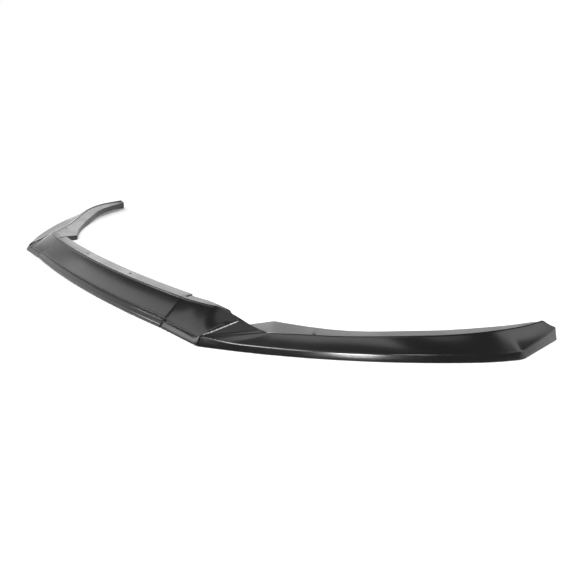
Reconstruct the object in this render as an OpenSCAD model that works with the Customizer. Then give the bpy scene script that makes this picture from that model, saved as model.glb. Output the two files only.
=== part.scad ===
// Front splitter lip for a passenger car, moulded in three sections that bolt together at two seams.
// X runs across the car, Y runs rearwards, Z is up, and the lip stands on its lower edge at Z = 0.
// The origin is in the middle of the lip's plan, so the front of the chin is at Y = -lip_d / 2.

/* [Overall] */
// Width across the tails
lip_w = 1756; // [1700:2:1820]
// Depth from the front of the chin to the tails
lip_d = 540; // [520:1:560]
// Height of the top flange above the lower edge
lip_h = 50; // [46:0.5:54]
// Wall of the mouldings
wall = 3; // [2.6:0.1:3.2]

/* [Chin] */
// Radius of the chin's bow, seen from above
bow_r = 3200; // [2800:50:3800]
// Distance from the middle to each seam
seam_x = 335; // [320:1:345]
// Gap at each seam
seam_gap = 0.6; // [0.4:0.1:1]
// Depth of the hollow face, from the lower edge back to its top
face_d = 55; // [52:0.5:58]
// How far the face is hollowed out
face_hollow = 1.5; // [1:0.25:4]
// Width of the top flange at the middle
flange_w = 28; // [26:0.5:32]
// Height of the flange's rolled rear edge
flange_edge = 6; // [5.5:0.1:7]
// Height of the chin's lower band
chin_band_h = 15.5; // [14:0.5:17]
// Setback of the chin's face behind the lower edge
chin_band_d = 8; // [7:0.5:9]
// Height of the bead along the chin's lower edge
bead_h = 6; // [5:0.5:7]

/* [Shoulder] */
// Distance from the middle to each corner of the lower edge
corner_x = 458; // [450:1:466]
// Turn of the lower edge away from straight across, between seam and corner
shoulder_turn = 2.7; // [2:0.1:4]
// Radius of the corner
corner_r = 18; // [14:1:24]
// Height of the band between seam and corner
shoulder_band_h = 10.5; // [9.5:0.5:12]
// Setback of the face on the side sections
band_d = 6; // [5:0.5:7]
// Extra height of the band at the corner, where the creases meet
apex_rise = 3.5; // [2:0.5:4.5]
// Extra setback of the face there
apex_setback = 4; // [2:0.5:5]
// Width of the top flange on the shoulder
shoulder_flange_w = 21; // [19:0.5:23]
// Length of the ridge from the seam to where the top flange ends
shoulder_l = 120; // [116:1:126]
// Width that is left there
strip_w = 10; // [9.5:0.1:11]

/* [Wing] */
// Direction of the lower edge just past the corner, in degrees from straight across
wing_turn = 30.4; // [29:0.1:32]
// Direction of the lower edge where it starts to flare round to the tail
flare_turn = 50.8; // [49:0.1:52]
// Radius of the flare
flare_r = 400; // [360:5:440]
// Direction of the lower edge where the tail's corner starts
tail_turn = 62; // [60:0.5:66]
// Radius of the tail's corner
tail_r = 35; // [28:1:45]
// Height of the wing's ridge behind the corner
wing_h = 20; // [18:0.5:22]
// Height of the wing's ridge at the tail
tail_h = 38; // [34:0.5:42]
// Height of the wing's band
wing_band_h = 13; // [12:0.5:14]
// Height of the band at the tail
tail_band_h = 25; // [22:0.5:28]
// Hollow of the wing's face
wing_hollow = 1; // [0.5:0.25:2]
// Distance from the lower edge in to the ridge at the tail
tail_d = 23; // [20:0.5:26]
// How much shorter the ridge is than the lower edge at the tail
tail_rake = 18; // [14:1:22]
// Direction of the wing's ridge
ridge_turn = 41; // [40:0.1:42]
// Width of the wing flange at its front corner
wing_flange_front = 75; // [68:1:80]
// Width of the wing flange along the middle of the wing
wing_flange_mid = 40; // [36:0.5:44]
// Width of the wing flange at the tail
wing_flange_tail = 20; // [16:0.5:24]
// Fall of the wing flange from the ridge to its inner edge, at the front and at the tail
flange_drop = [6.5, 9]; // [5:0.5:10]
// Height of the wing's inner wall
inner_wall_h = 17; // [15:0.5:19]

/* [Fixings] */
// Diameter of the fixing holes
hole_d = 6.5; // [5.5:0.1:7.5]
// Distance of the chin's fixing holes from the middle
chin_hole_x = 115; // [80:1:150]
// Distance of the wing's fixing hole along the wing's ridge
wing_hole_s = 83; // [60:1:120]
// Distance of the wing's fixing hole behind the ridge
wing_hole_d = 12.5; // [11:0.5:18]

/* [Seam joint] */
// Diameter of the joint screws
screw_d = 5; // [4.8:0.1:5.2]
// Play of a joint screw in its holes
screw_play = 0.5; // [0.3:0.1:0.8]
// Setback and height of the upper joint screw
screw_upper = [64, 34]; // [30:0.5:68]
// Setback and height of the lower joint screw
screw_lower = [44, 14]; // [12:0.5:48]
// Width of the notch in the flange beside each seam
notch_w = 7; // [5:0.5:9]
// Setback at which the notch starts
notch_d = 64; // [62:0.5:68]

/* [Hidden] */
$fn = 48;

// Plan positions are measured from the front of the chin and moved to the origin at the end.
front_y = -lip_d / 2;
seam_a = asin(seam_x / bow_r);
plastic = "#26272a";
steel = "#8d9094";

// Columns of the side section's surface, from the seam to the tail
shoulder_cols = 10;
corner_cols = 5;
valley_cols = 5;
wing_cols = 12;
flare_cols = 5;
tail_corner_cols = 3;
tail_cols = 6;
// Rows of the face between band and ridge, on the chin and on the side sections
chin_rows = 16;
face_rows = 8;
// Length of the ridge over which the top flange drops away, and from there to the crease
drop_l = 12;
crease_l = 18;
// Height of a joint nut, and the gap between its thread and the screw's
nut_h = 4;
thread_gap = 0.05;
// Bevel of the band's upper edge and of the ridge, and of the lower edge
bevel = 2;
lower_bevel = 1;
// Width of the ridge's top where it stands free above the wing flange
ridge_top = 3.2;
// Foot of the free ridge
ridge_foot = 1.5;
// Distance along the wing's ridge at which the flange's fall grows, and over which it does so
fall_from = 250;
fall_l = 200;
// How much shorter the flange's inner edge is at the tail, and the length over which it shortens
flange_rake = 5;
flange_rake_l = 60;
// Turn of the ridge between the seam and the wing flange
ridge_bend_l = 85;
ridge_bend = 13;
// Length of the ridge that is as high as the top flange, and length of its way down
ridge_level_l = 85;
ridge_down_l = 126;
// Direction of the ridge at the tail
ridge_end_turn = 84;
// Length along the wing's lower edge and along its ridge of the narrow face beside the corner
valley_toe_l = 116;
valley_ridge_l = 10;
// Share of the ridge's bend that lies beside the start of the flare
flare_share = 0.3;
// Length over which the band's rise at the corner fades, before and after it
apex_fade = [12, 75];
// Length over which the band changes from the chin's size to the shoulder's
seam_fade = 10;
// Length over which the top flange narrows beside the seam, and where it narrows to the strip
flange_fade = 15;
flange_taper = [50, 60];
// Length of the tail over which the band rises
tail_band_l = 150;
// Length over which the wing's ridge stays low, and over which it rises
low_ridge_l = 100;
ridge_rise_l = 340;
// Length over which the wing flange narrows to its middle width, and to its tail
flange_narrow_l = 205;
tail_narrow_l = 183;

function dir(h) = [cos(h), sin(h)];
function inward(h) = [-sin(h), cos(h)];
function mix(a, b, f) = a + (b - a) * f;
function clamp(f) = min(1, max(0, f));
function ease(f) = let(c = clamp(f)) c * c * (3 - 2 * c);
function unit(v) = v / norm(v);
function arc_l(r, turn) = r * turn * PI / 180;

// Where a run of the given length and turn ends, when it starts at p in direction h
function step(p, h, l, turn) =
    turn == 0 ? p + l * dir(h)
    : p + l * 180 / (PI * turn) * [sin(h + turn) - sin(h), cos(h) - cos(h + turn)];

// Place and direction at distance s along a path of [length, turn] runs
function along(runs, s, p, h, i = 0) =
    let(l = runs[i][0], turn = runs[i][1])
    s <= l || i == len(runs) - 1
    ? [step(p, h, s, turn * s / l), h + turn * s / l]
    : along(runs, s - l, step(p, h, l, turn), h + turn, i + 1);

// Lower edge of the right side section: shoulder, corner, wing, flare, tail corner and straight tail
toe_start = bow_r * [sin(seam_a), 1 - cos(seam_a)];
corner_turn = wing_turn - shoulder_turn;
corner_tangent = corner_r * tan(corner_turn / 2);
shoulder_toe_l = (corner_x - toe_start[0]) / cos(shoulder_turn) - corner_tangent;
corner_l = arc_l(corner_r, corner_turn);
corner_end = step(step(toe_start, shoulder_turn, shoulder_toe_l, 0), shoulder_turn, corner_l, corner_turn);
wing_x = lip_w / 2 - flare_r * (sin(tail_turn) - sin(flare_turn)) - tail_r * (1 - sin(tail_turn));
wing_r = (wing_x - corner_end[0]) / (sin(flare_turn) - sin(wing_turn));
wing_l = arc_l(wing_r, flare_turn - wing_turn);
flare_l = arc_l(flare_r, tail_turn - flare_turn);
tail_corner_l = arc_l(tail_r, 90 - tail_turn);
tail_start_y = corner_end[1] + wing_r * (cos(wing_turn) - cos(flare_turn))
    + flare_r * (cos(flare_turn) - cos(tail_turn)) + tail_r * cos(tail_turn);
toe_runs = [
    [shoulder_toe_l, 0], [corner_l, corner_turn], [wing_l, flare_turn - wing_turn],
    [flare_l, tail_turn - flare_turn], [tail_corner_l, 90 - tail_turn], [lip_d - tail_start_y, 0]
];
corner_s = shoulder_toe_l + corner_l;
flare_s = corner_s + wing_l;
toe_l = flare_s + flare_l + tail_corner_l + lip_d - tail_start_y;
function toe(s) = along(toe_runs, s, toe_start, shoulder_turn);

// Ridge of the right side section: the shoulder's runs to the foot of the wing, then the wing's
ridge_start = toe_start + face_d * inward(seam_a);
crease_u = shoulder_l + drop_l + crease_l;
wing_u = ridge_level_l + ridge_down_l;
ridge_bend_end = step(ridge_start, seam_a, ridge_bend_l, ridge_bend);
wing_foot = ridge_bend_end + (wing_u - ridge_bend_l) * dir(seam_a + ridge_bend);
ridge_to = [lip_w / 2 - tail_d, lip_d - tail_rake] - wing_foot;
ridge_arc = [sin(ridge_end_turn) - sin(ridge_turn), cos(ridge_turn) - cos(ridge_end_turn)];
ridge_r = (cos(ridge_turn) * ridge_to[1] - sin(ridge_turn) * ridge_to[0])
    / (cos(ridge_turn) * ridge_arc[1] - sin(ridge_turn) * ridge_arc[0]);
ridge_straight_l = (ridge_to[0] - ridge_r * ridge_arc[0]) / cos(ridge_turn);
ridge_bend_wing_l = arc_l(ridge_r, ridge_end_turn - ridge_turn);
ridge_l = wing_u + ridge_straight_l + ridge_bend_wing_l;
function ridge(u) =
    u <= wing_u
    ? along([[ridge_bend_l, ridge_bend], [wing_u - ridge_bend_l, 0]], u, ridge_start, seam_a)
    : along([[ridge_straight_l, 0], [ridge_bend_wing_l, ridge_end_turn - ridge_turn]],
        u - wing_u, wing_foot, ridge_turn);
function ridge_z(u) =
    u <= wing_u
    ? mix(lip_h, wing_h, ease((u - ridge_level_l) / ridge_down_l))
    : mix(wing_h, tail_h, ease((u - wing_u - low_ridge_l) / ridge_rise_l));

// Height of the band's upper edge and its setback at distance s along the lower edge
function near_corner(s) = ease((s - shoulder_toe_l + apex_fade[0]) / apex_fade[0]);
function band_z(s) =
    mix(mix(chin_band_h, shoulder_band_h, ease(s / seam_fade)), wing_band_h, near_corner(s))
    + apex_rise * (s < corner_s ? near_corner(s) : ease(1 - (s - corner_s) / apex_fade[1]))
    + (tail_band_h - wing_band_h) * pow(clamp((s - toe_l + tail_band_l) / tail_band_l), 2);
function band_setback(s) =
    mix(chin_band_d, band_d, ease(s / seam_fade))
    + apex_setback * (s < corner_s ? near_corner(s) : ease(1 - (s - corner_s) / apex_fade[1]));

// Width of the wing flange at distance w behind the foot of the wing, and its height at both edges
function wing_flange_w(w) =
    wing_flange_mid + (wing_flange_front - wing_flange_mid) * pow(1 - clamp(w / flange_narrow_l), 2)
    - (wing_flange_mid - wing_flange_tail) * pow(clamp((w - ridge_l + wing_u) / tail_narrow_l + 1), 2);
function wing_flange_z(w) =
    ridge_z(wing_u + w) - mix(flange_drop[0], flange_drop[1], ease((w - fall_from) / fall_l));
function wing_edge(w) =
    let(r = ridge(wing_u + w), tail = clamp((w - ridge_l + wing_u) / flange_rake_l + 1))
    r[0] + wing_flange_w(w) * inward(r[1]) - flange_rake * tail * tail * dir(r[1]);
front_corner = wing_foot + wing_flange_w(0) * inward(ridge_turn);

// Top flange of the shoulder: it narrows beside the seam, and to a strip at the end
function top_flange_w(u) =
    mix(shoulder_flange_w, strip_w, ease((u - flange_taper[0]) / flange_taper[1]))
    + (flange_w - shoulder_flange_w) * ease(1 - u / flange_fade);

// Inner edge of whichever flange is there, as [x, y, z]
function inner_edge(u) =
    let(r = ridge(u), crest = r[0] + strip_w * inward(r[1]))
    u <= shoulder_l ? concat(r[0] + top_flange_w(u) * inward(r[1]), ridge_z(u))
    : u <= crease_u ? concat(crest, flange_root_z(u) - 0.5)
    : u <= wing_u
    ? let(f = (u - crease_u) / (wing_u - crease_u), from = ridge(crease_u),
        edge = mix(from[0] + strip_w * inward(from[1]), front_corner, f))
        concat(edge, mix(flange_root_z(u) - 0.5, wing_flange_z(0), f))
    : concat(wing_edge(u - wing_u), wing_flange_z(u - wing_u));

// Height at which the flange meets the back of the ridge
function flange_root_z(u) =
    u <= shoulder_l ? ridge_z(u)
    : u <= wing_u ? mix(ridge_z(shoulder_l), wing_h, ease((u - shoulder_l) / drop_l))
    : ridge_z(u);

function wall_bottom_z(u, edge_z) =
    let(h = mix(flange_edge, inner_wall_h, clamp((u - crease_u) / (wing_u - crease_u))))
    max(0, edge_z - h);

// Hollow of the face
function hollow(u) =
    u <= wing_u ? mix(face_hollow, wing_hollow / 2, ease(u / crease_u))
    : mix(wing_hollow / 2, wing_hollow, clamp((u - wing_u) / low_ridge_l));

// Lower band and face of a section in its own plane, as [setback, height] points: the face rises
// from the band's bevel to the ridge and is hollow by h
function band_points(d, z) = [
    [lower_bevel, 0], [0, lower_bevel], [d / 2, z / 2], [d - bevel / 4, z - bevel], [d + bevel / 2, z]
];
function face_points(from, to, h, rows) =
    let(way = to - from, n = [way[1], -way[0]] / norm(way))
    [for (k = [1:rows]) let(f = k / (rows + 1)) from + f * way + h * 4 * f * (1 - f) * n];

// The same points one wall further in, with the first and last kept at their height
function offset_in(line, t) =
    let(last = len(line) - 1, ways = [for (i = [0:last - 1]) unit(line[i + 1] - line[i])])
    [for (i = [0:last])
        i == 0 ? line[0] + [t, 0]
        : i == last ? line[last] - [t, 0]
        : line[i] + t * mitre([ways[i - 1][1], -ways[i - 1][0]], [ways[i][1], -ways[i][0]])];
function mitre(a, b) = (a + b) / (1 + max(-0.4, a * b));
function reversed(list) = [for (i = [len(list) - 1:-1:0]) list[i]];
function flat(p) = [p[0], p[1]];

// Outer points of the side section's rib that starts at s on the lower edge and crosses the ridge at u
function outer(s, u) =
    let(
        t = toe(s), n = inward(mix(seam_a, t[1], clamp(s / seam_fade))),
        r = ridge(u), top = ridge_z(u), root = min(top, flange_root_z(u)),
        band = band_points(band_setback(s), band_z(s)),
        from = t[0] + band[4][0] * n,
        way = unit(r[0] - from), run = norm(r[0] - from),
        end = [run, top] - bevel * unit([run, top - band[4][1]]),
        face = concat(face_points([0, band[4][1]], end, hollow(u), face_rows), [end]),
        edge = inner_edge(u), back = flat(edge) - r[0], across = unit(back), w = norm(back),
        fall = (root - edge[2]) / w,
        foot = ridge_top + ridge_foot
    )
    concat(
        [for (q = band) concat(t[0] + q[0] * n, q[1])],
        [for (q = face) concat(from + q[0] * way, q[1])],
        [
            concat(r[0] + bevel * across, top - fall * bevel),
            concat(r[0] + ridge_top * across, top - fall * ridge_top),
            concat(r[0] + foot * across, root - fall * foot),
            edge,
            [edge[0], edge[1], wall_bottom_z(u, edge[2])]
        ]
    );

// Inner points of the same rib. What stands free above the flange is solid.
function inner(rib, root) =
    let(
        last = len(rib) - 1,
        a = concat(lower_bevel, [for (i = 1, sum = 0; i <= last;
            sum = sum + norm(flat(rib[min(i + 1, last)]) - flat(rib[i])), i = i + 1) sum]),
        line = [for (i = [0:last]) [a[i], min(rib[i][2], root)]],
        shifted = offset_in(line, wall)
    )
    [for (i = [0:last])
        let(j = max(1, min(i - 1, last - 2)), k = min(last - 1, max(i + 1, 2)),
            ahead = unit(flat(rib[k]) - flat(rib[j])))
        concat(flat(rib[i]) + (shifted[i][0] - a[i]) * ahead, shifted[i][1])];

// Ribs from the seam to the tail, as [distance along the lower edge, distance along the ridge]
flare_u = wing_u + ridge_straight_l + flare_share * ridge_bend_wing_l;
tail_s = concat(
    [for (i = [1:flare_cols]) flare_l * i / flare_cols],
    [for (i = [1:tail_corner_cols]) flare_l + tail_corner_l * i / tail_corner_cols],
    [for (i = [1:tail_cols]) mix(flare_l + tail_corner_l, toe_l - flare_s, i / tail_cols)]
);
ribs = concat(
    [for (u = concat([for (i = [0:shoulder_cols]) shoulder_l * i / shoulder_cols],
        shoulder_l + drop_l, crease_u - crease_l / 2, crease_u)) [shoulder_toe_l * u / crease_u, u]],
    [for (i = [1:corner_cols]) let(f = i / corner_cols)
        [shoulder_toe_l + corner_l * f, mix(crease_u, wing_u, f)]],
    [for (i = [1:valley_cols]) let(f = i / valley_cols)
        [corner_s + valley_toe_l * f, wing_u + valley_ridge_l * f]],
    [for (i = [1:wing_cols]) let(f = i / wing_cols)
        [mix(corner_s + valley_toe_l, flare_s, f), mix(wing_u + valley_ridge_l, flare_u, f)]],
    [for (q = tail_s) [flare_s + q, mix(flare_u, ridge_l, q / (toe_l - flare_s))]]
);

// Two triangles for four corners given clockwise as seen from outside
function quad(a, b, c, d) = [[a, b, c], [a, c, d]];

// Moulded shell of the right side section, without the seam's wall and the holes
module side_shell() {
    outside = [for (q = ribs) outer(q[0], q[1])];
    inside = [for (i = [0:len(ribs) - 1]) inner(outside[i], flange_root_z(ribs[i][1]))];
    rows = len(outside[0]);
    cols = len(ribs);
    m = cols * rows;
    sides = [for (c = [0:cols - 2]) for (r = [0:rows - 2]) let(i = c * rows + r)
        each concat(
            quad(i, i + 1, i + rows + 1, i + rows),
            quad(m + i, m + i + rows, m + i + rows + 1, m + i + 1))];
    rims = [for (c = [0:cols - 2]) let(i = c * rows, k = i + rows - 1)
        each concat(quad(i, i + rows, m + i + rows, m + i), quad(k + rows, k, m + k, m + k + rows))];
    ends = [for (r = [0:rows - 2]) let(k = m - rows + r)
        each concat(quad(r + 1, r, m + r, m + r + 1), quad(k, k + 1, m + k + 1, m + k))];
    translate([0, front_y, 0])
        polyhedron(
            points = concat([for (rib = outside) each rib], [for (rib = inside) each rib]),
            faces = concat(sides, rims, ends)
        );
}

// Chin's section: the plain line, and the same with the bead along its lower edge
chin_face_from = [chin_band_d + bevel / 2, chin_band_h];
chin_face_to = [face_d, lip_h] - bevel * unit([face_d, lip_h] - chin_face_from);
chin_line = concat(
    band_points(chin_band_d, chin_band_h),
    face_points(chin_face_from, chin_face_to, face_hollow, chin_rows),
    [chin_face_to, [face_d + bevel, lip_h]],
    [[face_d + flange_w, lip_h], [face_d + flange_w, lip_h - flange_edge]]
);
chin_top = [for (i = [3:len(chin_line) - 1]) chin_line[i]];
chin_outline = concat(
    [[bead_h * 0.13, 0], [0, bead_h * 0.25], [0, bead_h * 0.67], [bead_h * 0.2, bead_h],
        [chin_band_d * 0.45, bead_h + 1]],
    chin_top
);
// Outline of the wall that closes each section at the seam: halfway into the shell above, cut off below
seam_mid = offset_in(chin_line, wall / 2);
seam_wall_back = face_d + flange_w - wall / 2;
seam_outline = concat(
    [for (i = [1:len(seam_mid) - 2]) seam_mid[i]],
    [[seam_wall_back, screw_upper[1] - 14], [screw_lower[0], screw_lower[1] - 11]]
);

// Local frame at the right seam: X is the setback, Y is up and Z points outboard from the seam
module at_seam() {
    translate([toe_start[0], front_y + toe_start[1], 0])
        rotate([90, 0, 90 + seam_a])
            children();
}

module screw_holes(from, to) {
    for (p = [screw_upper, screw_lower])
        translate([p[0], p[1], from])
            cylinder(d = screw_d + screw_play, h = to - from);
}

// Sweeps the drawn section round the chin's bow, from and to the given angles right of the middle
module round_bow(from, to) {
    translate([0, front_y + bow_r, 0])
        rotate([0, 0, from - 90])
            rotate_extrude(angle = to - from, $fn = 720)
                children();
}

module bow_outline(points) {
    polygon([for (p = points) [bow_r - p[0], p[1]]]);
}

module chin_hole(x) {
    a = asin(x / (bow_r - face_d - flange_w / 2));
    translate([x, front_y + bow_r - (bow_r - face_d - flange_w / 2) * cos(a), lip_h - wall - 1])
        cylinder(d = hole_d, h = wall + 2);
}

module centre_section() {
    end_a = seam_a - seam_gap / bow_r * 180 / PI;
    wall_a = wall / bow_r * 180 / PI;
    color(plastic)
        difference() {
            union() {
                round_bow(-end_a, end_a)
                    bow_outline(concat(chin_outline, reversed(offset_in(chin_line, wall))));
                round_bow(seam_a - wall_a, seam_a)
                    bow_outline(seam_outline);
                round_bow(-seam_a, wall_a - seam_a)
                    bow_outline(seam_outline);
            }
            chin_hole(chin_hole_x);
            chin_hole(-chin_hole_x);
            at_seam() screw_holes(-wall - 1, 1);
            mirror([1, 0, 0]) at_seam() screw_holes(-wall - 1, 1);
        }
}

module wing_hole() {
    r = ridge(wing_u + wing_hole_s);
    p = r[0] + wing_hole_d * inward(r[1]);
    translate([p[0], front_y + p[1], wing_h / 2])
        cylinder(d = hole_d, h = wing_h);
}

module side_section() {
    difference() {
        union() {
            side_shell();
            at_seam() linear_extrude(wall) polygon(seam_outline);
        }
        wing_hole();
        at_seam() screw_holes(-1, wall + 1);
        at_seam()
            translate([notch_d, lip_h - flange_edge - 1, wall])
                cube([flange_w, flange_edge + 2, notch_w]);
    }
}

module side_section_right() {
    color(plastic) side_section();
}

module side_section_left() {
    color(plastic) mirror([1, 0, 0]) side_section();
}

// Pan-headed joint screw with a hexagon socket, in the seam's frame
module joint_screw(place) {
    head_h = 0.58 * screw_d;
    color(steel)
        translate([place[0], place[1], 0])
            difference() {
                union() {
                    translate([0, 0, -wall - nut_h - 1.5])
                        cylinder(d = screw_d, h = 2 * wall + nut_h + 1.5);
                    translate([0, 0, wall])
                        cylinder(d = 1.9 * screw_d, h = 0.5 * head_h);
                    translate([0, 0, wall + 0.5 * head_h])
                        cylinder(d1 = 1.9 * screw_d, d2 = 1.3 * screw_d, h = 0.5 * head_h);
                }
                translate([0, 0, wall + 0.4 * head_h])
                    cylinder(d = 0.69 * screw_d, h = head_h, $fn = 6);
            }
}

module joint_nut(place) {
    color(steel)
        translate([place[0], place[1], -wall - nut_h])
            difference() {
                cylinder(d = 1.6 * screw_d / cos(30), h = nut_h, $fn = 6);
                translate([0, 0, -1])
                    cylinder(d = screw_d + 2 * thread_gap, h = nut_h + 2);
            }
}

module screw_right_upper() {
    at_seam() joint_screw(screw_upper);
}

module screw_right_lower() {
    at_seam() joint_screw(screw_lower);
}

module screw_left_upper() {
    mirror([1, 0, 0]) at_seam() joint_screw(screw_upper);
}

module screw_left_lower() {
    mirror([1, 0, 0]) at_seam() joint_screw(screw_lower);
}

module nut_right_upper() {
    at_seam() joint_nut(screw_upper);
}

module nut_right_lower() {
    at_seam() joint_nut(screw_lower);
}

module nut_left_upper() {
    mirror([1, 0, 0]) at_seam() joint_nut(screw_upper);
}

module nut_left_lower() {
    mirror([1, 0, 0]) at_seam() joint_nut(screw_lower);
}

centre_section();
side_section_right();
side_section_left();
screw_right_upper();
screw_right_lower();
screw_left_upper();
screw_left_lower();
nut_right_upper();
nut_right_lower();
nut_left_upper();
nut_left_lower();
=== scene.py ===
"""Front splitter lip in three black mouldings, bolted together at two seams, on a studio floor."""
from math import asin, cos, degrees, pi, radians, sin, tan

import bmesh
import bpy
import numpy as np
from mathutils import Matrix, Vector


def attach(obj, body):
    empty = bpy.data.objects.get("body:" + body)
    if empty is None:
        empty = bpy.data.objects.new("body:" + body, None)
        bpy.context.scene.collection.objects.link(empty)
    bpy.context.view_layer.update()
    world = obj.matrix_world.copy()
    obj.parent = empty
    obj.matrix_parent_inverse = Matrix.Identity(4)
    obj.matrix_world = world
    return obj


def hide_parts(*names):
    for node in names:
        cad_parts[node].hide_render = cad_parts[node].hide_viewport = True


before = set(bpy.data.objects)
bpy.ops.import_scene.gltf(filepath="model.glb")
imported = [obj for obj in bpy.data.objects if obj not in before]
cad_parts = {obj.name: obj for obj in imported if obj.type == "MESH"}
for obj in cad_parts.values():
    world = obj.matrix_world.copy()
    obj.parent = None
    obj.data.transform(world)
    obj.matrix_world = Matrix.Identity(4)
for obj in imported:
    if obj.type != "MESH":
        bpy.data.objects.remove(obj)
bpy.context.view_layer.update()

# Centre section: a shallow bowed moulding in black ABS. Its face leans back from a beaded lower
# band to a flat flange that lies under the bumper. Two holes take its fixings, and an upright
# wall closes each end, where a side section is bolted on.
MM = 0.001
# Sizes are in millimetres and turns in degrees. A name ends in L for a length along the lip, in W
# for a width, H for a height, R for a radius, and D for a depth or a diameter. A setback is measured
# back from the lower edge. A reach is the length on both sides of a corner that its curve takes up.
LIP_WIDTH, LIP_DEPTH, LIP_HEIGHT, WALL = 1756.0, 540.0, 50.0, 3.0
FRONT_Y = -LIP_DEPTH / 2
BOW_R, SEAM_X, SEAM_GAP = 3200.0, 335.0, 0.6
SEAM_TURN = degrees(asin(SEAM_X / BOW_R))
FACE_D, FACE_HOLLOW, BEVEL, LOWER_BEVEL = 55.0, 1.5, 2.0, 1.0
FLANGE_W, FLANGE_EDGE = 28.0, 6.0
CHIN_BAND_D, CHIN_BAND_H, BEAD_H = 8.0, 15.5, 6.0
HOLE_D, CHIN_HOLE_X, CHIN_DRILL = 6.5, 115.0, (-10, 10)
SCREWS, SCREW_HOLE_D, WALL_BELOW_SCREWS = [(64.0, 34.0), (44.0, 14.0)], 5.5, (14.0, 11.0)
EDGE_ROUND, PAST_ROUND, CHIN_RIBS, FACE_ROWS = 0.3, 0.3, 121, 12
GROOVE_W, GROOVE_DEPTH, GROOVE_SHAPE, GROOVE_REACHES = 6.0, 1.4, (0.72, 0.8, 1), [0.5, 0.5, 0.8]
BAND_REACH, RIDGE_REACH, RIM_REACH = 0.6, 1.3, 1.5
CURVE_POINTS, LONGEST_REACH, SHARP_TURN, TIGHTEST_BEND = 5, 0.48, 30, -0.4
PATH_OVERRUN, CUT_OVERRUN = 30, 1


def unit(v):
    return v / np.linalg.norm(v)


def mix(a, b, f):
    return a + (b - a) * f


def clamp(f):
    return min(1.0, max(0.0, f))


def ease(f):
    f = clamp(f)
    return f * f * (3 - 2 * f)


def heading(turn):
    return np.array([cos(radians(turn)), sin(radians(turn))])


def inward(turn):
    return np.array([-sin(radians(turn)), cos(radians(turn))])


def rounded(corners):
    """A line through (x, z, reach) corners, with a curve of that reach at each inner one."""
    points = [np.array(c[:2], float) for c in corners]
    line = [points[0]]
    for before, point, after, corner in zip(points, points[1:], points[2:], corners[1:]):
        back, on = before - point, after - point
        if corner[2] == 0:
            line.append(point)
            continue
        sides = np.linalg.norm(back), np.linalg.norm(on)
        reach = min(corner[2], *(LONGEST_REACH * side for side in sides))
        for k in range(CURVE_POINTS):
            f = k / (CURVE_POINTS - 1)
            line.append(point + reach * (unit(back) * (1 - f) ** 2 + unit(on) * f ** 2))
    return np.array(line + [points[-1]])


def offset_in(line, depth):
    """The line moved inwards by that depth. Its first and last points keep their height."""
    line = np.array(line)
    ways = np.diff(line, axis=0)
    ways /= np.linalg.norm(ways, axis=1)[:, None]
    normals = np.stack([ways[:, 1], -ways[:, 0]], axis=1)
    moved = [line[0] + [depth, 0]]
    for point, a, b in zip(line[1:-1], normals, normals[1:]):
        moved.append(point + depth * (a + b) / (1 + max(TIGHTEST_BEND, a @ b)))
    return np.array(moved + [line[-1] - [depth, 0]])


def band_corners(d, z):
    """Lower band of a section as (setback, height, reach) corners, up to where the face starts."""
    return [
        (LOWER_BEVEL, 0, 0), (0, LOWER_BEVEL, BAND_REACH), (d / 2, z / 2, 0),
        (d - BEVEL / 4, z - BEVEL, BAND_REACH), (d + BEVEL / 2, z, BAND_REACH),
    ]


def face_corners(start, end, hollow, groove, lift=None):
    """Corners of a face that is hollow by that much in its middle and starts with a groove."""
    start, way = np.array(start), np.subtract(end, start)
    normal = unit(np.array([way[1], -way[0]]))
    steps = GROOVE_W * np.array(GROOVE_SHAPE) / np.linalg.norm(way)
    steps = [*steps, *(mix(steps[2], 1, k / (FACE_ROWS + 1)) for k in range(1, FACE_ROWS + 1))]
    depths = [groove, groove, 0] + [0] * FACE_ROWS
    reaches = GROOVE_REACHES + [0] * FACE_ROWS
    corners = []
    for f, depth, reach in zip(steps, depths, reaches):
        depth += hollow * 4 * f * (1 - f) - (lift(f) if lift else 0)
        corners.append((*(start + f * way + depth * normal), reach))
    return corners


def placed(line, path):
    """Points in space of a section's line, whose setbacks run along a path of (setback, x, y)."""
    path = np.array(path)
    first, last = path[1] - path[0], path[-1] - path[-2]
    before, after = PATH_OVERRUN * first / first[0], PATH_OVERRUN * last / last[0]
    path = np.vstack([path[0] - before, path, path[-1] + after])
    x = np.interp(line[:, 0], path[:, 0], path[:, 1])
    y = np.interp(line[:, 0], path[:, 0], path[:, 2])
    return np.stack([x, y + FRONT_Y, line[:, 1]], axis=1)


def rib(outer, inner, path, rounding):
    """Closed loop of points round a shell's outer and inner lines, drawn in at a rounded end."""
    if rounding:
        outer, inner = offset_in(outer, rounding), offset_in(inner, -rounding)
    return np.vstack([placed(outer, path), placed(inner, path)[::-1]])


def end_round(distance):
    """How far a section's skin is drawn in at this distance from its end."""
    near = clamp(1 - distance / EDGE_ROUND)
    return EDGE_ROUND * (1 - np.sqrt(1 - near ** 2))


def add_piece(name, vertices, faces, textured=()):
    """A smooth-shaded mesh. Its textured faces take the piece's second material."""
    mesh = bpy.data.meshes.new(name)
    mesh.from_pydata([tuple(v * MM) for v in vertices], [], faces)
    work = bmesh.new()
    work.from_mesh(mesh)
    work.faces.ensure_lookup_table()
    for index in textured:
        work.faces[index].material_index = 1
    bmesh.ops.triangulate(work, faces=[face for face in work.faces if len(face.verts) > 4])
    bmesh.ops.recalc_face_normals(work, faces=work.faces)
    work.to_mesh(mesh)
    work.free()
    mesh.shade_smooth()
    mesh.set_sharp_from_angle(angle=radians(SHARP_TURN))
    piece = bpy.data.objects.new(name, mesh)
    bpy.context.scene.collection.objects.link(piece)
    return piece


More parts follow.
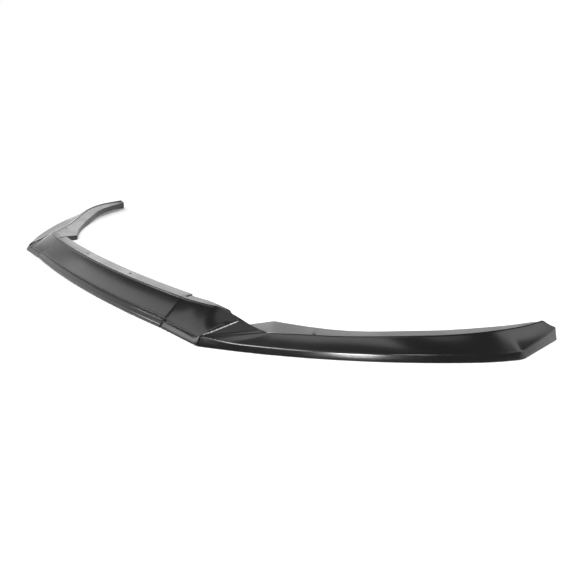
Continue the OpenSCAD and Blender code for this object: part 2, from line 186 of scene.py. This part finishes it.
def swept(name, loops, textured_from=None):
    """A closed skin through loops of equal length, textured from that point of each loop on."""
    count, cols = len(loops[0]), len(loops)
    faces = [tuple(range(count)), tuple(range((cols - 1) * count, cols * count))]
    textured = []
    for c in range(cols - 1):
        for r in range(count):
            if textured_from is not None and r >= textured_from:
                textured.append(len(faces))
            a, b = c * count + r, c * count + (r + 1) % count
            faces.append((a, b, b + count, a + count))
    return add_piece(name, np.concatenate(loops), faces, textured)


def at_seam(setback, height, outboard):
    """A point beside the right seam, from its setback, its height and its distance outboard."""
    x, y = BOW_R * np.array([sin(radians(SEAM_TURN)), 1 - cos(radians(SEAM_TURN))])
    plan = np.array([x, y + FRONT_Y]) + setback * inward(SEAM_TURN) + outboard * heading(SEAM_TURN)
    return np.array([*plan, height])


def cut(piece, cutters):
    """Takes the cutters' shapes out of the piece."""
    for cutter in cutters:
        change = piece.modifiers.new("cut", "BOOLEAN")
        change.object, change.operation, change.solver = cutter, "DIFFERENCE", "EXACT"
    shown = piece.evaluated_get(bpy.context.evaluated_depsgraph_get())
    result = bpy.data.meshes.new_from_object(shown)
    piece.modifiers.clear()
    result.set_sharp_from_angle(angle=radians(SHARP_TURN))
    piece.data = result
    for cutter in cutters:
        bpy.data.objects.remove(cutter)


def joined(pieces):
    """One piece that holds the meshes of them all, under the first one's name."""
    work = bmesh.new()
    for piece in pieces:
        work.from_mesh(piece.data)
    work.to_mesh(pieces[0].data)
    work.free()
    for piece in pieces[1:]:
        bpy.data.objects.remove(piece)
    return pieces[0]


def ring(centre, side, other, diameter, sides=40):
    turns = np.arange(sides) * 2 * pi / sides
    return [centre + diameter / 2 * (cos(a) * side + sin(a) * other) for a in turns]


chin_face_start = (CHIN_BAND_D + BEVEL / 2, CHIN_BAND_H)
chin_lean = unit(np.array([FACE_D, LIP_HEIGHT]) - chin_face_start)
chin_face_end = np.array([FACE_D, LIP_HEIGHT]) - BEVEL * chin_lean
chin_flange = [
    (*chin_face_end, RIDGE_REACH), (FACE_D + BEVEL, LIP_HEIGHT, RIDGE_REACH),
    (FACE_D + FLANGE_W, LIP_HEIGHT, RIM_REACH), (FACE_D + FLANGE_W, LIP_HEIGHT - FLANGE_EDGE, 0),
]
chin_band = band_corners(CHIN_BAND_D, CHIN_BAND_H)
plain_face = face_corners(chin_face_start, chin_face_end, FACE_HOLLOW, 0)
chin_corners = chin_band + plain_face + chin_flange
# The bead is round in front and runs back to the band above it.
chin_bead = [
    (0.13 * BEAD_H, 0, 0), (0.1, 0.25 * BEAD_H, 1), (0.1, 0.67 * BEAD_H, 1.2),
    (0.2 * BEAD_H, BEAD_H, 0.5), (0.45 * CHIN_BAND_D, BEAD_H + 1, 0.5),
]
grooved_face = face_corners(chin_face_start, chin_face_end, FACE_HOLLOW, GROOVE_DEPTH)
chin_outer = rounded(chin_bead + chin_band[3:] + grooved_face + chin_flange)
chin_inner = offset_in([c[:2] for c in chin_corners], WALL)

centre_ribs = []
half_length = BOW_R * radians(SEAM_TURN) - SEAM_GAP
# The first ribs at an end stand close together, which makes its edge round.
end_steps = [0, 0.02, 0.09, 0.18, EDGE_ROUND, EDGE_ROUND + PAST_ROUND]
runs = [-half_length + e for e in end_steps]
runs += list(np.linspace(-half_length, half_length, CHIN_RIBS)[1:-1])
runs += [half_length - e for e in end_steps[::-1]]
for run in runs:
    turn = run / BOW_R
    path = [(0, BOW_R * sin(turn), BOW_R * (1 - cos(turn)))]
    path.append((BOW_R, 0, BOW_R))
    centre_ribs.append(rib(chin_outer, chin_inner, path, end_round(half_length - abs(run))))
# The texture starts behind the ridge, one curve and two points before the end of the outer line.
centre = swept("centre_moulding", centre_ribs, len(chin_outer) - CURVE_POINTS - 2)

seam_mid = offset_in([c[:2] for c in chin_corners], WALL / 2)
seam_outline = list(seam_mid[1:-1])
seam_outline += [
    (FACE_D + FLANGE_W - WALL / 2, SCREWS[0][1] - WALL_BELOW_SCREWS[0]),
    (SCREWS[1][0], SCREWS[1][1] - WALL_BELOW_SCREWS[1]),
]


def seam_wall(name, start, end):
    """Upright end wall between two distances from the right seam, with its two screw holes."""
    wall = swept(name, [[at_seam(*p, x) for p in seam_outline] for x in (start, end)])
    side, up = at_seam(1, 0, 0) - at_seam(0, 0, 0), np.array([0, 0, 1])
    ends = start - CUT_OVERRUN, end + CUT_OVERRUN
    cut(wall, [
        swept("drill", [ring(at_seam(*p, x), side, up, SCREW_HOLE_D) for x in ends]) for p in SCREWS
    ])
    return wall


def turned_over(piece, name):
    """A copy of the piece on the other side of the lip."""
    mesh = piece.data.copy()
    mesh.name = name
    mesh.transform(Matrix.Scale(-1, 4, (1, 0, 0)))
    mesh.flip_normals()
    copy = bpy.data.objects.new(name, mesh)
    bpy.context.scene.collection.objects.link(copy)
    return copy


X, Y, Z = np.eye(3)
hole_turn = asin(CHIN_HOLE_X / (BOW_R - FACE_D - FLANGE_W / 2))
hole_y = FRONT_Y + BOW_R - (BOW_R - FACE_D - FLANGE_W / 2) * cos(hole_turn)
cut(centre, [
    swept("drill", [ring(np.array([x, hole_y, LIP_HEIGHT + z]), X, Y, HOLE_D) for z in CHIN_DRILL])
    for x in (CHIN_HOLE_X, -CHIN_HOLE_X)
])
end_wall = seam_wall("end_wall", -WALL, 0)
joined([centre, end_wall, turned_over(end_wall, "other_wall")])


def colour(code):
    """Linear colour, with alpha, of an sRGB hex value."""
    parts = [int(code[k:k + 2], 16) / 255 for k in (1, 3, 5)]
    return *[p / 12.92 if p <= 0.04045 else ((p + 0.055) / 1.055) ** 2.4 for p in parts], 1


def add_node(tree, kind, sockets, **settings):
    """Adds a node with its settings. A socket is given a value, or another node's output."""
    made = tree.nodes.new(kind)
    for key, value in settings.items():
        setattr(made, key, value)
    for key, value in sockets.items():
        if isinstance(value, bpy.types.NodeSocket):
            tree.links.new(value, made.inputs[key])
        else:
            made.inputs[key].default_value = value
    return made


def moulded_abs(name, code, uneven_code, gloss, grain_mm, grain_depth):
    """Black ABS: its colours, its roughness range, and the grain that the mould leaves on it."""
    material = bpy.data.materials.new(name)
    material.use_nodes = True
    tree = material.node_tree
    tree.nodes.clear()
    place = add_node(tree, "ShaderNodeTexCoord", {})
    grain = add_node(tree, "ShaderNodeTexNoise", {
        "Vector": place.outputs["Object"], "Scale": 1 / (grain_mm * MM),
        "Detail": 2.0, "Roughness": 0.6,
    })
    # Flow marks of the melt are some 60 mm across. Most of the noise lies between the two levels.
    flow_mm, low, high = 60, 0.3, 0.7
    flow = add_node(tree, "ShaderNodeTexNoise", {
        "Vector": place.outputs["Object"], "Scale": 1 / (flow_mm * MM),
        "Detail": 3.0, "Roughness": 0.55,
    })
    tone = add_node(tree, "ShaderNodeValToRGB", {"Fac": flow.outputs["Fac"]})
    first, last = tone.color_ramp.elements
    first.position, first.color = low, colour(code)
    last.position, last.color = high, colour(uneven_code)
    shine = add_node(tree, "ShaderNodeMapRange", {
        "Value": flow.outputs["Fac"], "From Min": low, "From Max": high,
        "To Min": gloss[0], "To Max": gloss[1],
    })
    relief = add_node(tree, "ShaderNodeBump", {
        "Height": grain.outputs["Fac"], "Strength": 1.0, "Distance": grain_depth * MM,
    })
    skin = add_node(tree, "ShaderNodeBsdfPrincipled", {
        "Base Color": tone.outputs["Color"], "Roughness": shine.outputs["Result"], "IOR": 1.54,
        "Normal": relief.outputs["Normal"],
    })
    add_node(tree, "ShaderNodeOutputMaterial", {"Surface": skin.outputs["BSDF"]})
    return material


# Injection-moulded ABS, satin black: the shown faces come from a polished mould, so their edges
# glint and their highlights are soft-edged. The real grain is 0.1 mm and is drawn at 2 mm to show.
satin_abs = moulded_abs("satin_black_moulded_abs", "#0f0f10", "#131314", (0.14, 0.18), 2.0, 0.0025)
# The same ABS where the mould is spark-eroded, on the flanges and the underside: dull and grey.
# Its grain is 0.4 mm, drawn at 1.6 mm.
textured_abs = moulded_abs(
    "textured_black_moulded_abs", "#18181a", "#1d1d1f", (0.32, 0.38), 1.6, 0.02
)

centre.data.materials.append(satin_abs)
centre.data.materials.append(textured_abs)
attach(centre, "root")
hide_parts("centre_section")

# Side sections: a mirrored pair of black ABS mouldings, screwed to the centre section at the seams.
# The lower edge runs straight on, turns a corner and sweeps back along the wing to an upright tail.
# The ridge above it drops from the top flange to the low wing flange, and rises again to the tail.
CORNER_X, SHOULDER_TURN, CORNER_R = 458.0, 2.7, 18.0
SHOULDER_BAND_H, BAND_D, APEX_RISE, APEX_SETBACK = 10.5, 6.0, 3.5, 4.0
SHOULDER_FLANGE_W, SHOULDER_L, STRIP_W = 21.0, 120.0, 10.0
WING_TURN, FLARE_TURN, FLARE_R, TAIL_TURN, TAIL_R = 30.4, 50.8, 400.0, 62.0, 35.0
WING_H, TAIL_H, WING_BAND_H, TAIL_BAND_H, WING_HOLLOW = 20.0, 38.0, 13.0, 25.0, 1.0
TAIL_D, TAIL_RAKE, RIDGE_TURN = 23.0, 18.0, 41.0
FLANGE_FRONT, FLANGE_MID, FLANGE_TAIL, FLANGE_DROP = 75.0, 40.0, 20.0, (6.5, 9.0)
INNER_WALL_H, WING_HOLE_S, WING_HOLE_D, WING_DRILL = 17.0, 83.0, 12.5, (-12, 10)
NOTCH_W, NOTCH_D, NOTCH_L, NOTCH_CUT = 7.0, 64.0, 30.0, (-8, 2)
FIN_STEP, FIN_FADE, STRIP_DROP = 2.0, 30.0, 0.5
CREASE_RISE, CREASE_W, CREASE_ENDS, CREASE_FADES = (1.2, 0.3), (3.2, 4.5), (1.3, 0.7), (0.05, 0.4)
FOOT_REACHES, GROOVE_STOP, GROOVE_FADE = (0.5, 1.2), 12.0, 4.0
DROP_L, CREASE_L, RIDGE_TOP, RIDGE_FOOT = 12.0, 18.0, 3.2, 1.5
FALL_FROM, FALL_L, FLANGE_RAKE, FLANGE_RAKE_L = 250.0, 200.0, 5.0, 60.0
RIDGE_BEND_L, RIDGE_BEND, RIDGE_END_TURN = 85.0, 13.0, 84.0
RIDGE_LEVEL_L, RIDGE_DOWN_L = 85.0, 126.0
VALLEY_TOE_L, VALLEY_RIDGE_L, FLARE_SHARE = 116.0, 10.0, 0.3
APEX_FADE, SEAM_FADE, FACE_FADE, FLANGE_FADE = (12.0, 75.0), 4.0, 80.0, 15.0
FLANGE_TAPER, FLANGE_NARROW_L, TAIL_NARROW_L = (50.0, 60.0), 205.0, 183.0
TAIL_BAND_L, LOW_RIDGE_L, RIDGE_RISE_L = 150.0, 100.0, 340.0


def stepped(point, turn, length, bend):
    """Where a run of that length and bend ends, when it starts at the point in direction turn."""
    if bend == 0:
        return point + length * heading(turn)
    a, b = radians(turn), radians(turn + bend)
    return point + length / radians(bend) * np.array([sin(b) - sin(a), cos(a) - cos(b)])


def along(runs, distance, point, turn):
    """Place and direction at that distance along a path of (length, bend) runs."""
    for length, bend in runs[:-1]:
        if distance <= length:
            break
        point, turn, distance = stepped(point, turn, length, bend), turn + bend, distance - length
    else:
        length, bend = runs[-1]
    bend = bend * distance / length
    return stepped(point, turn, distance, bend), turn + bend


toe_start = BOW_R * np.array([sin(radians(SEAM_TURN)), 1 - cos(radians(SEAM_TURN))])
corner_bend = WING_TURN - SHOULDER_TURN
shoulder_toe_l = (CORNER_X - toe_start[0]) / cos(radians(SHOULDER_TURN))
shoulder_toe_l -= CORNER_R * tan(radians(corner_bend / 2))
corner_l = CORNER_R * radians(corner_bend)
corner_start = stepped(toe_start, SHOULDER_TURN, shoulder_toe_l, 0)
corner_end = stepped(corner_start, SHOULDER_TURN, corner_l, corner_bend)
wing_sine, flare_sine, tail_sine = (sin(radians(t)) for t in (WING_TURN, FLARE_TURN, TAIL_TURN))
wing_x = LIP_WIDTH / 2 - FLARE_R * (tail_sine - flare_sine) - TAIL_R * (1 - tail_sine)
wing_l = (wing_x - corner_end[0]) / (flare_sine - wing_sine) * radians(FLARE_TURN - WING_TURN)
flare_l = FLARE_R * radians(TAIL_TURN - FLARE_TURN)
tail_corner_l = TAIL_R * radians(90 - TAIL_TURN)
toe_runs = [
    (shoulder_toe_l, 0), (corner_l, corner_bend), (wing_l, FLARE_TURN - WING_TURN),
    (flare_l, TAIL_TURN - FLARE_TURN), (tail_corner_l, 90 - TAIL_TURN),
]
tail_start = toe_start, SHOULDER_TURN
for length, bend in toe_runs:
    tail_start = stepped(tail_start[0], tail_start[1], length, bend), tail_start[1] + bend
toe_runs.append((LIP_DEPTH - tail_start[0][1], 0))
corner_s = shoulder_toe_l + corner_l
flare_s = corner_s + wing_l
toe_l = sum(length for length, bend in toe_runs)


# From here on, s is a distance along the lower edge, u one along the ridge, and w one along the
# ridge that starts at the front end of the wing.
def toe(s):
    return along(toe_runs, s, toe_start, SHOULDER_TURN)


ridge_start = toe_start + FACE_D * inward(SEAM_TURN)
crease_u = SHOULDER_L + DROP_L + CREASE_L
wing_u = RIDGE_LEVEL_L + RIDGE_DOWN_L
wing_foot = stepped(ridge_start, SEAM_TURN, RIDGE_BEND_L, RIDGE_BEND)
wing_foot = wing_foot + (wing_u - RIDGE_BEND_L) * heading(SEAM_TURN + RIDGE_BEND)
ridge_to = np.array([LIP_WIDTH / 2 - TAIL_D, LIP_DEPTH - TAIL_RAKE]) - wing_foot
ridge_arc = inward(RIDGE_TURN) - inward(RIDGE_END_TURN)
ridge_side = inward(RIDGE_TURN)
ridge_r = (ridge_side @ ridge_to) / (ridge_side @ ridge_arc)
ridge_straight_l = (ridge_to[0] - ridge_r * ridge_arc[0]) / cos(radians(RIDGE_TURN))
ridge_curve_l = ridge_r * radians(RIDGE_END_TURN - RIDGE_TURN)
ridge_l = wing_u + ridge_straight_l + ridge_curve_l
flare_u = wing_u + ridge_straight_l + FLARE_SHARE * ridge_curve_l


def ridge(u):
    if u <= wing_u:
        shoulder_runs = [(RIDGE_BEND_L, RIDGE_BEND), (wing_u - RIDGE_BEND_L, 0)]
        return along(shoulder_runs, u, ridge_start, SEAM_TURN)
    wing_runs = [(ridge_straight_l, 0), (ridge_curve_l, RIDGE_END_TURN - RIDGE_TURN)]
    return along(wing_runs, u - wing_u, wing_foot, RIDGE_TURN)


def ridge_z(u):
    if u <= wing_u:
        return mix(LIP_HEIGHT, WING_H, ease((u - RIDGE_LEVEL_L) / RIDGE_DOWN_L))
    return mix(WING_H, TAIL_H, ease((u - wing_u - LOW_RIDGE_L) / RIDGE_RISE_L))


def near_corner(s):
    if s < corner_s:
        return ease((s - shoulder_toe_l + APEX_FADE[0]) / APEX_FADE[0])
    return ease(1 - (s - corner_s) / APEX_FADE[1])


def band_height(s):
    shoulder = mix(CHIN_BAND_H, SHOULDER_BAND_H, ease(s / SEAM_FADE))
    plain = mix(shoulder, WING_BAND_H, near_corner(s) if s < corner_s else 1)
    tail = (TAIL_BAND_H - WING_BAND_H) * clamp((s - toe_l + TAIL_BAND_L) / TAIL_BAND_L) ** 2
    return plain + APEX_RISE * near_corner(s) + tail


def band_setback(s):
    return mix(CHIN_BAND_D, BAND_D, ease(s / SEAM_FADE)) + APEX_SETBACK * near_corner(s)


def top_flange_w(u):
    narrowed = mix(SHOULDER_FLANGE_W, STRIP_W, ease((u - FLANGE_TAPER[0]) / FLANGE_TAPER[1]))
    return narrowed + (FLANGE_W - SHOULDER_FLANGE_W) * ease(1 - u / FLANGE_FADE)


def wing_flange_z(w):
    return ridge_z(wing_u + w) - mix(*FLANGE_DROP, ease((w - FALL_FROM) / FALL_L))


def wing_flange_edge(w):
    point, turn = ridge(wing_u + w)
    from_tail = w - ridge_l + wing_u
    width = FLANGE_MID + (FLANGE_FRONT - FLANGE_MID) * (1 - clamp(w / FLANGE_NARROW_L)) ** 2
    width -= (FLANGE_MID - FLANGE_TAIL) * clamp(from_tail / TAIL_NARROW_L + 1) ** 2
    rake = FLANGE_RAKE * clamp(from_tail / FLANGE_RAKE_L + 1) ** 2
    return point + width * inward(turn) - rake * heading(turn)


def flange_root_z(u):
    if u <= SHOULDER_L or u > wing_u:
        return ridge_z(u)
    return mix(ridge_z(SHOULDER_L), WING_H, ease((u - SHOULDER_L) / DROP_L))


def inner_edge(u):
    """Place and height of the inner edge of whichever flange is there."""
    point, turn = ridge(u)
    if u <= SHOULDER_L:
        return point + top_flange_w(u) * inward(turn), ridge_z(u)
    if u <= crease_u:
        return point + STRIP_W * inward(turn), flange_root_z(u) - STRIP_DROP
    if u > wing_u:
        return wing_flange_edge(u - wing_u), wing_flange_z(u - wing_u)
    start, start_turn = ridge(crease_u)
    start, share = start + STRIP_W * inward(start_turn), (u - crease_u) / (wing_u - crease_u)
    front_corner = wing_foot + FLANGE_FRONT * inward(RIDGE_TURN)
    height = mix(flange_root_z(u) - STRIP_DROP, wing_flange_z(0), share)
    return mix(start, front_corner, share), height


def crease_lift(s, u, f):
    """Height of the raised line along either crease at the corner, at share f of the face."""
    lift = 0
    for crease_s, at_u, rise, width, ends in zip(
        (shoulder_toe_l, corner_s), (crease_u, wing_u), CREASE_RISE, CREASE_W, CREASE_ENDS
    ):
        away = abs(u - at_u) * f + abs(s - crease_s) * (1 - f)
        fade = ease((ends - f) / CREASE_FADES[1]) * ease(f / CREASE_FADES[0])
        lift += rise * clamp(1 - (away / width) ** 2) * fade
    return lift


def side_rib(s, u):
    """Section from a point on the lower edge across the ridge to the flange's inner edge."""
    start, turn = toe(s)
    side = inward(mix(SEAM_TURN, turn, clamp(s / FACE_FADE)))
    crest, top = ridge(u)[0], ridge_z(u)
    root = min(top, flange_root_z(u)) - FIN_STEP * ease((u - wing_u) / FIN_FADE)
    band = band_corners(band_setback(s), band_height(s))
    face_x, face_z = band[-1][:2]
    face_start = start + face_x * side
    run = np.linalg.norm(crest - face_start)
    end = np.array([face_x + run, top]) - BEVEL * unit(np.array([run, top - face_z]))
    hollow = mix(FACE_HOLLOW, WING_HOLLOW / 2, ease(u / crease_u))
    if u > wing_u:
        hollow = mix(WING_HOLLOW / 2, WING_HOLLOW, clamp((u - wing_u) / LOW_RIDGE_L))
    edge, edge_z = inner_edge(u)
    width = np.linalg.norm(edge - crest)
    fall = (min(top, flange_root_z(u)) - edge_z) / width
    back, foot = face_x + run, RIDGE_TOP + RIDGE_FOOT
    wall_h = mix(FLANGE_EDGE, INNER_WALL_H, clamp((u - crease_u) / (wing_u - crease_u)))
    flange = [
        (*end, RIDGE_REACH), (back + BEVEL, top - fall * BEVEL, RIDGE_REACH),
        (back + RIDGE_TOP, top - fall * RIDGE_TOP, FOOT_REACHES[0]),
        (back + foot, root - fall * foot, FOOT_REACHES[1]),
        (back + width, edge_z, RIM_REACH), (back + width, max(0, edge_z - wall_h), 0),
    ]
    path = [(0, *start), (face_x, *face_start), (back, *crest), (back + width, *edge)]
    groove = GROOVE_DEPTH * ease((shoulder_toe_l - GROOVE_STOP - s) / GROOVE_FADE)
    face = face_corners((face_x, face_z), end, hollow, groove, lambda f: crease_lift(s, u, f))
    outer = rounded(band + face + flange)
    plain = band + face_corners((face_x, face_z), end, hollow, 0) + flange
    inner = offset_in([(x, min(z, root)) for x, z, reach in plain], WALL)
    return rib(outer, inner, path, end_round(min(u, toe_l - s))), len(outer)


# Where the ribs stand: a distance along the lower edge, the one along the ridge that goes with it,
# and how many ribs lead up to there. They are closest at both ends, the creases and the corner.
# Past the flare, the distance along the ridge is worked out below.
knots = [
    (0, 0, 0), (EDGE_ROUND, EDGE_ROUND, 4), (EDGE_ROUND + PAST_ROUND, EDGE_ROUND + PAST_ROUND, 1),
    (SEAM_FADE, SEAM_FADE, 8), (shoulder_toe_l * 0.8, SHOULDER_L, 40),
    (shoulder_toe_l * 0.94, crease_u * 0.94, 36), (shoulder_toe_l, crease_u, 20),
    (mix(shoulder_toe_l, corner_s, 0.16), mix(crease_u, wing_u, 0.16), 22),
    (mix(shoulder_toe_l, corner_s, 0.9), mix(crease_u, wing_u, 0.9), 20), (corner_s, wing_u, 14),
    (corner_s + VALLEY_TOE_L * 0.1, wing_u + VALLEY_RIDGE_L * 0.1, 16),
    (corner_s + VALLEY_TOE_L, wing_u + VALLEY_RIDGE_L, 30), (flare_s, flare_u, 60),
    (flare_s + flare_l + tail_corner_l, 0, 30), (toe_l - EDGE_ROUND - PAST_ROUND, 0, 24),
    (toe_l - EDGE_ROUND, 0, 1), (toe_l, ridge_l, 4),
]
first_rib, outer_count = side_rib(0, 0)
side_ribs = [first_rib]
for (s0, u0, _), (s1, u1, cols) in zip(knots, knots[1:]):
    for k in range(1, cols + 1):
        s = mix(s0, s1, k / cols)
        u = mix(u0, u1, k / cols)
        if s > flare_s:
            u = mix(flare_u, ridge_l, (s - flare_s) / (toe_l - flare_s))
        side_ribs.append(side_rib(s, u)[0])
right = swept("right_moulding", side_ribs, outer_count - 3 * CURVE_POINTS - 2)

beside_hole, wing_turn = ridge(wing_u + WING_HOLE_S)
hole_at = [*(beside_hole + WING_HOLE_D * inward(wing_turn) + [0, FRONT_Y]), 0]
notch_end, notch_out = NOTCH_D + NOTCH_L, WALL + NOTCH_W
notch = [(NOTCH_D, WALL), (NOTCH_D, notch_out), (notch_end, notch_out), (notch_end, WALL)]
cut(right, [
    swept("drill", [ring(hole_at + (WING_H + z) * Z, X, Y, HOLE_D) for z in WING_DRILL]),
    swept("notch", [[at_seam(d, LIP_HEIGHT + z, out) for d, out in notch] for z in NOTCH_CUT]),
])
joined([right, seam_wall("end_wall", 0, WALL)])
left = turned_over(right, "left_moulding")
for piece, node in ((right, "side_section_right"), (left, "side_section_left")):
    piece.data.materials.append(satin_abs)
    piece.data.materials.append(textured_abs)
    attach(piece, "root")
    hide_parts(node)

# Joint screws and nuts: M5 pan-headed steel screws and plain hexagon nuts, zinc plated. Two of each
# hold the end walls together at either seam, hidden under the flange.
# Zinc plate on steel: a bright grey metal with a slight blue cast and a soft, uneven shine.
zinc_plate = bpy.data.materials.new("zinc_plated_steel")
zinc_plate.use_nodes = True
tree = zinc_plate.node_tree
tree.nodes.clear()
place = add_node(tree, "ShaderNodeTexCoord", {})
# Crystals of the plating are drawn 1 mm across.
crystals = add_node(tree, "ShaderNodeTexNoise", {
    "Vector": place.outputs["Object"], "Scale": 1 / MM, "Detail": 3.0,
})
tone = add_node(tree, "ShaderNodeValToRGB", {"Fac": crystals.outputs["Fac"]})
dark, bright = tone.color_ramp.elements
dark.color, bright.color = colour("#9fa4aa"), colour("#c9cdd2")
shine = add_node(tree, "ShaderNodeMapRange", {
    "Value": crystals.outputs["Fac"], "To Min": 0.28, "To Max": 0.45,
})
skin = add_node(tree, "ShaderNodeBsdfPrincipled", {
    "Base Color": tone.outputs["Color"], "Metallic": 1.0, "Roughness": shine.outputs["Result"],
})
add_node(tree, "ShaderNodeOutputMaterial", {"Surface": skin.outputs["BSDF"]})
for kind in ("screw", "nut"):
    for side in ("right", "left"):
        for row in ("upper", "lower"):
            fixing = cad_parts[f"{kind}_{side}_{row}"]
            fixing.data.materials.clear()
            fixing.data.materials.append(zinc_plate)

# Studio: a plain white floor, a white surround and twelve soft lamps. The floor keeps a faint
# shadow, which shows that the lip stands on it.
FLOOR_SIDE, FLOOR_GAP = 14000.0, 0.2
LIFT_REACH, LIFT_LEVELS = (1.2, 4.0), (0.2, 1.0)
BACKDROP_TOP, BACKDROP_LEVELS = (0.2, 0.42), (1.0, 0.16)
corners = FLOOR_SIDE / 2 * np.array([[-1, -1, 0], [1, -1, 0], [1, 1, 0], [-1, 1, 0]])
floor = add_piece("studio_floor", corners, [(0, 1, 2, 3)])
floor.location.z = -FLOOR_GAP * MM
white_floor = bpy.data.materials.new("white_floor")
white_floor.use_nodes = True
tree = white_floor.node_tree
tree.nodes.clear()
paint = add_node(tree, "ShaderNodeBsdfDiffuse", {"Color": colour("#f6f6f6")})
# Seen by the camera or in a reflection, the floor is lifted to the white of the backdrop. The lamps
# light its middle, so the lift grows from there outwards, over distances in metres.
ray = add_node(tree, "ShaderNodeLightPath", {})
seen = ray.outputs["Is Camera Ray"]
for kind in ("Is Glossy Ray", "Is Transmission Ray"):
    other = {0: seen, 1: ray.outputs[kind]}
    seen = add_node(tree, "ShaderNodeMath", other, operation="MAXIMUM").outputs["Value"]
place = add_node(tree, "ShaderNodeTexCoord", {})
far = add_node(tree, "ShaderNodeVectorMath", {0: place.outputs["Object"]}, operation="LENGTH")
share = add_node(tree, "ShaderNodeMapRange", {
    "Value": far.outputs["Value"], "From Min": LIFT_REACH[0], "From Max": LIFT_REACH[1],
    "To Min": LIFT_LEVELS[0], "To Max": LIFT_LEVELS[1],
})
lift = add_node(tree, "ShaderNodeMath", {0: seen, 1: share.outputs["Result"]}, operation="MULTIPLY")
white = {"Color": (1, 1, 1, 1), "Strength": lift.outputs["Value"]}
whitening = add_node(tree, "ShaderNodeEmission", white)
shaders = {0: paint.outputs["BSDF"], 1: whitening.outputs["Emission"]}
both = add_node(tree, "ShaderNodeAddShader", shaders)
add_node(tree, "ShaderNodeOutputMaterial", {"Surface": both.outputs["Shader"]})
floor.data.materials.append(white_floor)

world = bpy.data.worlds.new("studio_surround")
bpy.context.scene.world = world
world.use_nodes = True
tree = world.node_tree
tree.nodes.clear()
place = add_node(tree, "ShaderNodeTexCoord", {})
height = add_node(tree, "ShaderNodeSeparateXYZ", {"Vector": place.outputs["Generated"]})
# The white backdrop reaches some 12 degrees up all round and fades into a dim room above it.
level = add_node(tree, "ShaderNodeMapRange", {
    "Value": height.outputs["Z"], "From Min": BACKDROP_TOP[0], "From Max": BACKDROP_TOP[1],
    "To Min": BACKDROP_LEVELS[0], "To Max": BACKDROP_LEVELS[1],
}, interpolation_type="SMOOTHSTEP")
white = {"Color": (1, 1, 1, 1), "Strength": level.outputs["Result"]}
glow = add_node(tree, "ShaderNodeBackground", white)
add_node(tree, "ShaderNodeOutputWorld", {"Surface": glow.outputs["Background"]})


def add_softbox(name, place, aim, size, level, turn=0):
    """A soft lamp at a place in metres, facing the aim. Level 1 is as bright as the backdrop."""
    data = bpy.data.lights.new(name, "AREA")
    data.shape, data.size, data.size_y = "RECTANGLE", size[0], size[1]
    data.energy = level * pi * size[0] * size[1]
    lamp = bpy.data.objects.new(name, data)
    facing = (Vector(place) - Vector(aim)).to_track_quat("Z", "Y").to_matrix().to_4x4()
    lamp.matrix_world = Matrix.Translation(place) @ facing @ Matrix.Rotation(radians(turn), 4, "Z")
    lamp.visible_camera = False
    bpy.context.scene.collection.objects.link(lamp)


# Each lamp stands where a face, a flange or an edge of the lip mirrors it. The small ones draw the
# highlights, and the wide ones set the tones of the surfaces between them.
add_softbox("key_softbox", (2.50, -2.01, 2.1), (0.63, -0.03, 0), (0.65, 0.4), 72)
add_softbox("front_strip", (1.0, -2.24, 2.2), (0.5, -0.24, 0), (1.35, 0.2), 32)
add_softbox("bead_lamp", (-1.77, -1.82, 1.07), (0.3, -0.26, 0), (0.45, 0.3), 3.6)
add_softbox("streak_lamp", (-2.43, -0.2, 2.15), (-2.43, -0.2, 0), (0.4, 0.4), 9)
add_softbox("crease_lamp", (1.80, -0.40, 2.05), (0.37, -0.25, 0), (0.35, 0.35), 30)
add_softbox("ceiling_bank", (-3.8, -0.55, 2.2), (-3.8, -0.55, 0), (4.4, 1.5), 1.2)
add_softbox("ceiling_shoulder", (-1.25, -0.33, 2.2), (-1.25, -0.33, 0), (0.7, 1.05), 1.2)
add_softbox("ceiling_wing", (-0.78, 1.05, 2.2), (-0.78, 1.05, 0), (1.15, 0.85), 1.25, -20)
add_softbox("ceiling_panel", (0.55, -0.22, 2.2), (0.55, -0.22, 0), (1.7, 1.5), 0.7)
add_softbox("right_softbox", (3.5, 3.1, 2.2), (3.5, 3.1, 0), (5.4, 1.8), 1.55, 42.6)
add_softbox("low_strip", (-1.12, 2.30, 0.25), (0.7, 0.0, 0.02), (1.1, 0.28), 1.3)
add_softbox("back_strip", (-3.1, 1.8, 1.3), (0.15, -0.15, 0.05), (1.9, 0.95), 3.8)

bpy.context.scene.view_settings.view_transform = "Standard"

# Camera: it stands at the photograph's viewing angle, in front and to the right of the lip.
FOCAL_PX, FRAME_PX, SENSOR = 570.0, 576.0, 36.0
CAMERA_PLACE, CAMERA_PITCH, CAMERA_TURN = (1.2750, -0.7492, 0.4308), 18.64, 48.46
lens = bpy.data.cameras.new("photo_camera")
lens.sensor_width, lens.lens = SENSOR, SENSOR * FOCAL_PX / FRAME_PX
camera = bpy.data.objects.new("photo_camera", lens)
camera.location = CAMERA_PLACE
camera.rotation_euler = (radians(90 - CAMERA_PITCH), 0, radians(CAMERA_TURN))
bpy.context.scene.collection.objects.link(camera)
bpy.context.scene.camera = camera
